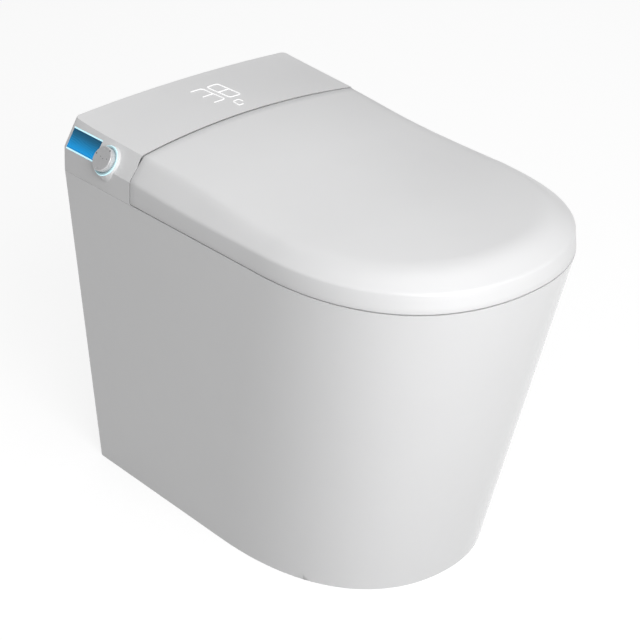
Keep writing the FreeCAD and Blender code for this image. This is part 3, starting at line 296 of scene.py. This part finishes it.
finishes = {
    "ceramic": glazedMaterial("whiteGlaze", (0.83, 0.83, 0.835)),
    "shell_plastic": mouldedMaterial("whiteShell", (0.8, 0.8, 0.805), 0.3),
    "seat_plastic": mouldedMaterial("whiteSeat", (0.78, 0.78, 0.78), 0.28),
    "white_plastic": mouldedMaterial("whiteInner", (0.74, 0.74, 0.74), 0.45, 500.0, 0.12),
    "grey_plastic": mouldedMaterial("greyChassis", (0.2, 0.205, 0.21), 0.5, 400.0, 0.2),
    "black_plastic": mouldedMaterial("blackCasing", (0.022, 0.022, 0.024), 0.45, 400.0, 0.2),
    "panel_glass": panelMaterial("litPanel"),
    "light_guide": glowMaterial("paleCyanGlow", (0.5, 0.82, 0.93), 0.85, (0.4, 0.6, 0.65)),
    "light_strip": glowMaterial("blueGlow", (0.02, 0.3, 0.7), 1.0, (0.2, 0.4, 0.5)),
    "display_digits": glowMaterial("whiteGlow", (1.0, 1.0, 1.0), 0.5, (0.8, 0.8, 0.8)),
    "knob_metal": knobMaterial("turnedSteel", (0.7, 0.7, 0.71)),
    "steel": brushedMaterial("brushedSteel", (0.5, 0.5, 0.51), 0.28),
    "bright_steel": brushedMaterial("brightSteel", (0.62, 0.62, 0.63), 0.12),
    "brass": brushedMaterial("brass", (0.58, 0.4, 0.14), 0.25),
    "rubber": rubberMaterial("greyRubber", (0.45, 0.45, 0.45)),
    "black_rubber": rubberMaterial("blackRubber", (0.02, 0.02, 0.02)),
    "foil": foilMaterial("heaterFoil", (0.6, 0.6, 0.61)),
    "board": boardMaterial("greenBoard", (0.015, 0.11, 0.045)),
}
for name, piece in cad.items():
    piece.data.materials.clear()
    piece.data.materials.append(finishes[slotOf[name]])
cad["knob_halo"].data.materials[0] = haloMaterial("paleCyanHalo", (0.5, 0.86, 0.95), 0.75)
print("materials on every CAD piece")


def linked(name, data):
    made = bpy.data.objects.new(name, data)
    bpy.context.scene.collection.objects.link(made)
    return made


def newPiece(name, points, faces, body, slot, replaced):
    mesh = bpy.data.meshes.new(name)
    mesh.from_pydata([tuple(point) for point in points], [], faces)
    mesh.validate()
    piece = linked(name, mesh)
    mesh.materials.append(finishes[slot])
    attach(piece, body)
    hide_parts(replaced)
    return piece


def reworked(piece, change):
    work = bmesh.new()
    work.from_mesh(piece.data)
    change(work)
    work.to_mesh(piece.data)
    work.free()


def smoothed(piece, degrees):
    mesh = piece.data
    mesh.polygons.foreach_set("use_smooth", [True] * len(mesh.polygons))
    mesh.set_sharp_from_angle(angle=math.radians(degrees))


def rounded(piece, width, degrees):
    bevel = piece.modifiers.new("edges", "BEVEL")
    bevel.width = width
    bevel.segments = 2
    bevel.limit_method = "ANGLE"
    bevel.angle_limit = math.radians(degrees)
    bevel.use_clamp_overlap = True
    return bevel


def bodyOf(node):
    for body, members in frame["record"]["behaviour"]["bodies"].items():
        if node in members:
            return body


crease = {"degrees": 32, "decimals": 6}


def mergedCopy(name, node, edge):  # a CAD piece with shared corners and soft edges
    source = cad[node].data
    corners = np.empty(len(source.vertices) * 3)
    source.vertices.foreach_get("co", corners)
    corners = corners.reshape(-1, 3)
    shared = np.round(corners, crease["decimals"])
    keys, index = np.unique(shared, axis=0, return_inverse=True)
    index = index.ravel()
    faces = []
    for polygon in source.polygons:
        face = [int(index[i]) for i in polygon.vertices]
        if len(set(face)) == len(face):
            faces.append(face)
    piece = newPiece(name, keys, faces, bodyOf(node), slotOf[node], node)
    smoothed(piece, crease["degrees"])
    if edge:
        rounded(piece, edge, crease["degrees"])
    return piece


softEdges = {
    # CAD piece: edge rounding in metres, where 0 only shares the corners
    "housing_cover": 0.0008, "lid_liner": 0.0006, "seat_base": 0.0012,
    "seat_top": 0.0, "hinge_post_left": 0.0006, "hinge_post_right": 0.0006,
    "water_heater": 0.0012, "nozzle_shield": 0.0005, "knob_cap": 0.0003, "nozzle_cradle": 0.0004,
    "ceramic_bowl": 0.0, "ceramic_trapway": 0.0, "ceramic_pan": 0.0,
}
copies = {}
for node, edge in softEdges.items():
    first, *others = node.split("_")
    copies[node] = mergedCopy(first + "".join(word.title() for word in others), node, edge)
# the seat's broad top is shaded by its own faces, not by the narrow ones at its edge
copies["seat_top"].modifiers.new("normals", "WEIGHTED_NORMAL").keep_sharp = True
print("copies of", len(softEdges), "CAD pieces")

# the pan's glaze is rounded where it is an outer edge, not where it meets the bowl, its other half
glaze = {
    "edge": 0.0012, "degrees": 35,
    # the oval round the bowl in which no edge is rounded: middle along Y, half width, half length
    "bowlY": -0.11, "bowlX": 0.15, "bowlLength": 0.195,
}


def weighGlaze(work):
    weight = work.edges.layers.float.new("bevel_weight_edge")
    for edge in work.edges:
        middle = (edge.verts[0].co + edge.verts[1].co) / 2
        alongBowl = (middle.y - glaze["bowlY"]) / glaze["bowlLength"]
        away = math.hypot(middle.x / glaze["bowlX"], alongBowl)
        between = len(edge.link_faces) == 2
        sharp = between and edge.calc_face_angle() > math.radians(glaze["degrees"])
        edge[weight] = 1.0 if sharp and away > 1 else 0.0


reworked(copies["ceramic_pan"], weighGlaze)
bevel = rounded(copies["ceramic_pan"], glaze["edge"], glaze["degrees"])
bevel.limit_method = "WEIGHT"

# the seam over the pan is a hair line at both sides, so there the cover's foot comes down
# almost to the glaze
seam = {"open": 0.0003, "reach": 0.003, "side": 0.19}
glazeTop = max(corner.co.z for corner in copies["ceramic_pan"].data.vertices)
for corner in copies["housing_cover"].data.vertices:
    if corner.co.z < glazeTop + seam["reach"] and abs(corner.co.x) > seam["side"]:
        corner.co.z = min(corner.co.z, glazeTop + seam["open"])
print("glaze edges and cover seam")


# the lid's outer skin, drawn row by row from the seam to the tip
lid = {
    # outline: half width, tip, where the straight sides end, fullness of the bow, foot of the skirt
    "half": 0.2, "tip": -0.336, "sideEnd": -0.099, "fullness": 0.632, "base": 0.450,
    # the bowed seam at the rear, and the crown's half width at which the shoulder is measured
    "seamMiddle": 0.1663, "seamSide": 0.1533, "crownHalf": 0.176,
    "draft": 0.002, "bevelRun": 0.040, "edgeRound": 0.0024,
    # the ridge between bevel and crown is softer from the rear to the front
    "ridgeSoft": 0.004, "ridgeGain": 0.009, "ridgeFrom": 0.12, "ridgeRun": 0.3,
    # one row of points: shares of the skirt's height, then steps inwards over the bevel
    "skirt": (0.0, 0.3, 0.6, 0.85),
    "insets": (0.006, 0.009, 0.012, 0.015, 0.018, 0.021, 0.024, 0.028, 0.033, 0.04, 0.048),
    "rows": 22, "bowRows": 44, "across": 26, "lastRow": 0.11,
    "wall": 0.0026, "smooth": 50, "lipRound": 0.0005, "lipDegrees": 60,
}
# heights along Y: the crease over the skirt, and the ridge that the bevel would reach
bandLine = ((0.292, 0.4805), (0.160, 0.4794), (0.040, 0.4748), (-0.099, 0.4745), (-0.336, 0.4745))
ridgeLine = ((0.292, 0.540), (0.160, 0.522), (0.040, 0.5062), (-0.099, 0.5021), (-0.296, 0.496))
crownLine = (
    # along Y, height over the shoulder, height on the centre line
    (0.312, 0.5169, 0.5223), (0.162, 0.5065, 0.515), (0.066, 0.5, 0.5085),
    (-0.018, 0.4935, 0.502), (-0.078, 0.4908, 0.499), (-0.178, 0.4893, 0.4965),
    (-0.348, 0.4865, 0.4915))


def eased(table, y):  # a smooth curve through pairs of y and z that run from the rear to the front
    ys = [pair[0] for pair in table]
    zs = [pair[1] for pair in table]
    slopes = [(zs[i + 1] - zs[i]) / (ys[i + 1] - ys[i]) for i in range(len(ys) - 1)]
    lean = [slopes[0]] + [(a + b) / 2 for a, b in zip(slopes, slopes[1:])] + [slopes[-1]]
    i = 0
    while i < len(ys) - 2 and y < ys[i + 1]:
        i += 1
    span = ys[i + 1] - ys[i]
    t = (y - ys[i]) / span
    return ((2 * t ** 3 - 3 * t ** 2 + 1) * zs[i] + (t ** 3 - 2 * t ** 2 + t) * span * lean[i]
            + (3 * t ** 2 - 2 * t ** 3) * zs[i + 1] + (t ** 3 - t ** 2) * span * lean[i + 1])


def crownHeight(x, y):
    side = eased([(row[0], row[1]) for row in crownLine], y)
    middle = eased([(row[0], row[2]) for row in crownLine], y)
    return middle - (middle - side) * (x / lid["crownHalf"]) ** 2


def softMinimum(a, b, reach):  # the lower of two heights, rounded over where they cross
    overlap = max(reach - abs(a - b), 0) / reach
    return min(a, b) - overlap ** 2 * reach / 4


def outlinePoint(inset, y, bow):  # on the left side at y, or a share of the way round the bow
    half = lid["half"] - inset
    tip = lid["tip"] + inset
    if bow is None:
        return -half, y
    reach = (lid["sideEnd"] - tip) * lid["fullness"]
    poles = ((half, lid["sideEnd"]), (half, lid["sideEnd"] - reach),
             (half * lid["fullness"], tip), (0, tip))
    weights = ((1 - bow) ** 3, 3 * bow * (1 - bow) ** 2, 3 * bow ** 2 * (1 - bow), bow ** 3)
    x, y = (sum(w * pole[axis] for w, pole in zip(weights, poles)) for axis in (0, 1))
    return -x, y


def upperHeight(x, y, inset, softness):
    low = eased(bandLine, y)
    high = eased(ridgeLine, y)
    bevel = low + (high - low) * (inset - lid["draft"]) / (lid["bevelRun"] - lid["draft"])
    return softMinimum(bevel, crownHeight(x, y), softness)


def lidRow(y, bow, fade):
    # from the foot of the skirt, over the rounded crease and the bevel, to the centre line
    forward = min(max((lid["ridgeFrom"] - y) / lid["ridgeRun"], 0), 1)
    soft = lid["ridgeSoft"] + lid["ridgeGain"] * forward
    turn = lid["edgeRound"]
    row = []
    for share in lid["skirt"]:
        x, yy = outlinePoint(lid["draft"] * share, y, bow)
        height = eased(bandLine, yy) - turn - lid["base"]
        row.append((x, yy, lid["base"] + height * share / lid["skirt"][-1]))
    x2, y2 = outlinePoint(lid["draft"] + turn, y, bow)
    x1, y1 = outlinePoint(lid["draft"], y, bow)
    start = Vector(row[-1])
    corner = Vector((x1, y1, eased(bandLine, y1)))
    end = Vector((x2, y2, upperHeight(x2, y2, lid["draft"] + turn, soft)))
    for t in (0.25, 0.5, 0.75, 1.0):
        row.append(tuple(start * (1 - t) ** 2 + corner * 2 * t * (1 - t) + end * t ** 2))
    for inset in lid["insets"]:
        x, yy = outlinePoint(inset, y, bow)
        row.append((x, yy, upperHeight(x, yy, inset, soft)))
    xEnd, yEnd = row[-1][:2]
    target = y
    if bow is not None:
        target = lid["sideEnd"] + (lid["tip"] + lid["lastRow"] - lid["sideEnd"]) * bow
    for step in range(1, lid["across"] + 1):
        t = step / lid["across"]
        x, yy = xEnd * (1 - t), yEnd + (target - yEnd) * t
        row.append((x, yy, upperHeight(x, yy, lid["half"], soft)))
    seamBow = lid["seamMiddle"] - lid["seamSide"]
    return [(x, yy + seamBow * (1 - (x / lid["half"]) ** 2) * fade, z) for x, yy, z in row]


def lidSkin():
    rows = []
    start, end = lid["seamSide"], lid["sideEnd"]
    for i in range(lid["rows"] + 1):
        t = i / lid["rows"]
        rows.append(lidRow(start + (end - start) * t, None, (1 - t) ** 2))
    for i in range(1, lid["bowRows"] + 1):
        t = i / lid["bowRows"]
        rows.append(lidRow(0.0, t, 0.0))
    width = len(rows[0])
    points, faces = [], []
    for row in rows:
        points += row
    offset = len(points)
    points += [(-x, y, z) for x, y, z in points]
    for r in range(len(rows) - 1):
        for c in range(width - 1):
            a, b = r * width + c, r * width + c + 1
            d, e = a + width, b + width
            faces.append((a, b, e, d))
            faces.append((offset + b, offset + a, offset + d, offset + e))
    return points, faces


def closeLidSkin(work):
    bmesh.ops.remove_doubles(work, verts=work.verts, dist=1e-5)
    bmesh.ops.dissolve_degenerate(work, edges=work.edges, dist=1e-6)
    bmesh.ops.recalc_face_normals(work, faces=work.faces)
    if sum(face.normal.z * face.calc_area() for face in work.faces) < 0:
        bmesh.ops.reverse_faces(work, faces=work.faces)


points, faces = lidSkin()
lidShell = newPiece("lidShell", points, faces, "lid", "shell_plastic", "lid_shell")
reworked(lidShell, closeLidSkin)
smoothed(lidShell, lid["smooth"])
wall = lidShell.modifiers.new("wall", "SOLIDIFY")
wall.thickness = lid["wall"]
wall.offset = -1
rounded(lidShell, lid["lipRound"], lid["lipDegrees"])
print("lid skin:", len(lidShell.data.polygons), "faces")


# the lit numbers: thin strokes with rounded turns, lying on the crown
numbers = {
    "width": 0.0185, "height": 0.0445, "pitch": 0.0265, "footX": -0.0155, "footY": 0.2145,
    "lean": -0.0045, "turn": 0.0042, "turnSteps": 6,
    # where the middle bars start and how far they stop before the right side
    "barStart": 0.0012, "barStop": 0.0008,
    # a stroke across: half width, height over the crown, depth in it, share of both at its rounding
    "stroke": 0.0005, "rise": 0.00032, "sink": 0.0002, "round": 0.6,
    # the small open unit mark in front of the second number
    "unit": ((0.0172, 0.1955), (0.0164, 0.2035), (0.0062, 0.2025), (0.005, 0.188),
             (0.0125, 0.1885)),
    "unitTurn": 0.0028,
}


def roundedPath(corners, radius, closed=False):
    count = len(corners)
    path = []
    for i, corner in enumerate(corners):
        if not closed and i in (0, count - 1):
            path.append(corner)
            continue
        before, after = corners[i - 1], corners[(i + 1) % count]
        intoX, intoY = before[0] - corner[0], before[1] - corner[1]
        outX, outY = after[0] - corner[0], after[1] - corner[1]
        reachIn = radius / math.hypot(intoX, intoY)
        reachOut = radius / math.hypot(outX, outY)
        ax, ay = corner[0] + intoX * reachIn, corner[1] + intoY * reachIn
        bx, by = corner[0] + outX * reachOut, corner[1] + outY * reachOut
        for step in range(numbers["turnSteps"] + 1):
            t = step / numbers["turnSteps"]
            path.append(((1 - t) ** 2 * ax + 2 * t * (1 - t) * corner[0] + t ** 2 * bx,
                         (1 - t) ** 2 * ay + 2 * t * (1 - t) * corner[1] + t ** 2 * by))
    return path + path[:1] if closed else path


def strokeMesh(path, closed):
    points, faces = [], []
    half, rise, sink, part = (numbers[key] for key in ("stroke", "rise", "sink", "round"))
    profile = ((-1, -sink), (-1, rise * part), (-part, rise), (part, rise), (1, rise * part),
               (1, -sink))
    ring = len(profile)
    count = len(path)
    for i, (x, y) in enumerate(path):
        last, following = path[max(i - 1, 0)], path[min(i + 1, count - 1)]
        if closed and i in (0, count - 1):
            last, following = path[-2], path[1]
        run = math.hypot(following[0] - last[0], following[1] - last[1])
        sideX, sideY = -(following[1] - last[1]) / run * half, (following[0] - last[0]) / run * half
        for side, height in profile:
            px, py = x + sideX * side, y + sideY * side
            points.append((px, py, crownHeight(px, py) + height))
    for i in range(count - 1):
        for k in range(ring):
            a, b = i * ring + k, i * ring + (k + 1) % ring
            faces.append((a, b, b + ring, a + ring))
    if not closed:
        faces.append(tuple(range(ring)))
        faces.append(tuple(range(count * ring - 1, (count - 1) * ring - 1, -1)))
    return points, faces


def numberPaths():
    wide, tall, turn = numbers["width"], numbers["height"], numbers["turn"]
    three = roundedPath([(0, tall), (wide, tall), (wide, 0), (0, 0)], turn)
    eight = roundedPath([(0, 0), (0, tall), (wide, tall), (wide, 0)], turn, True)
    bar = [(numbers["barStart"], tall / 2), (wide / 2, tall / 2),
           (wide - numbers["barStop"], tall / 2)]
    return ((0, three, False), (0, bar, False), (1, eight, True), (1, bar, False))


def closeStrokes(work):
    bmesh.ops.remove_doubles(work, verts=work.verts, dist=1e-6)
    bmesh.ops.recalc_face_normals(work, faces=work.faces)


points, faces = [], []
strokes = [(roundedPath(numbers["unit"], numbers["unitTurn"]), False)]
lean = numbers["lean"] / numbers["height"]
for place, path, closed in numberPaths():
    footX = numbers["footX"] + place * numbers["pitch"]
    strokes.append(([(footX + x + lean * y, numbers["footY"] + y) for x, y in path], closed))
for path, closed in strokes:
    more, quads = strokeMesh(path, closed)
    faces += [tuple(i + len(points) for i in quad) for quad in quads]
    points += more
digits = newPiece("displayNumbers", points, faces, bodyOf("display_digits"), "display_digits",
                  "display_digits")
reworked(digits, closeStrokes)
print("numbers on the crown")


# studio: a pale floor that the camera sees as white, and square lamps round the object
studio = {
    "camera": (-1.43265, -1.61316, 1.45949), "pitch": 90 - 28.73, "turn": -41.21, "lens": 106.875,
    "sensor": 36, "farthest": 50,
    "floorHalf": 7, "floor": 0.3, "floorLift": 0.78, "sky": 0.3,
    # lamps: size, distance, height they face, then azimuth from the front towards the right,
    # elevation and watts of each
    "lampSize": 1.8, "reach": 3.0, "aim": 0.25,
    "lamps": (
        (-12, 10, 23.0), (-20, 35, 52.0), (20, 45, 3.0), (0, 88, 6.0), (-70, 45, 5.0),
        (110, 20, 3.0), (150, 45, 8.0)),
}
white = (1, 1, 1, 1)


def floorMaterial():  # matt for the lamps, and lifted to white where it is seen or mirrored
    s = Shader("studioWhite")
    straight, mirrored, through = (
        s.node("ShaderNodeLightPath", {}, {}, f"Is {kind} Ray")
        for kind in ("Camera", "Glossy", "Transmission"))
    seen = (straight + mirrored + through).clamped()
    matt = s.node("ShaderNodeBsdfDiffuse", {}, {"Color": (*[studio["floor"]] * 3, 1)})
    lift = s.node("ShaderNodeEmission", {}, {
        "Color": white, "Strength": seen * studio["floorLift"]})
    both = s.node("ShaderNodeAddShader", {}, {0: matt, 1: lift})
    s.node("ShaderNodeOutputMaterial", {}, {"Surface": both})
    return s.material


floorMesh = bpy.data.meshes.new("studioFloor")
far = studio["floorHalf"]
floorMesh.from_pydata([(-far, -far, 0), (far, -far, 0), (far, far, 0), (-far, far, 0)], [],
                      [(0, 1, 2, 3)])
floor = linked("studioFloor", floorMesh)
floorMesh.materials.append(floorMaterial())

for number, (azimuth, elevation, watts) in enumerate(studio["lamps"]):
    turn, rise = math.radians(azimuth), math.radians(elevation)
    towards = Vector((math.sin(turn) * math.cos(rise), -math.cos(turn) * math.cos(rise),
                      math.sin(rise)))
    lamp = bpy.data.lights.new(f"lamp{number}", "AREA")
    lamp.size = studio["lampSize"]
    lamp.energy = watts
    holder = linked(f"lamp{number}", lamp)
    holder.location = Vector((0, 0, studio["aim"])) + towards * studio["reach"]
    holder.rotation_euler = towards.to_track_quat("Z", "Y").to_euler()

world = bpy.data.worlds.new("studioSky")
bpy.context.scene.world = world
world.use_nodes = True
sky = Tree(world.node_tree)
seen = sky.node("ShaderNodeLightPath", {}, {}, "Is Camera Ray")
soft = sky.node("ShaderNodeBackground", {}, {"Color": white, "Strength": studio["sky"]})
clear = sky.node("ShaderNodeBackground", {}, {"Color": white, "Strength": 1.0})
both = sky.node("ShaderNodeMixShader", {}, {0: seen, 1: soft, 2: clear})
sky.node("ShaderNodeOutputWorld", {}, {"Surface": both})

lens = bpy.data.cameras.new("camera")
lens.lens = studio["lens"]
lens.sensor_width = studio["sensor"]
lens.clip_end = studio["farthest"]
camera = linked("camera", lens)
camera.location = studio["camera"]
camera.rotation_euler = Euler((math.radians(studio["pitch"]), 0, math.radians(studio["turn"])))
bpy.context.scene.camera = camera
bpy.context.scene.view_settings.view_transform = "Standard"
print("studio set")
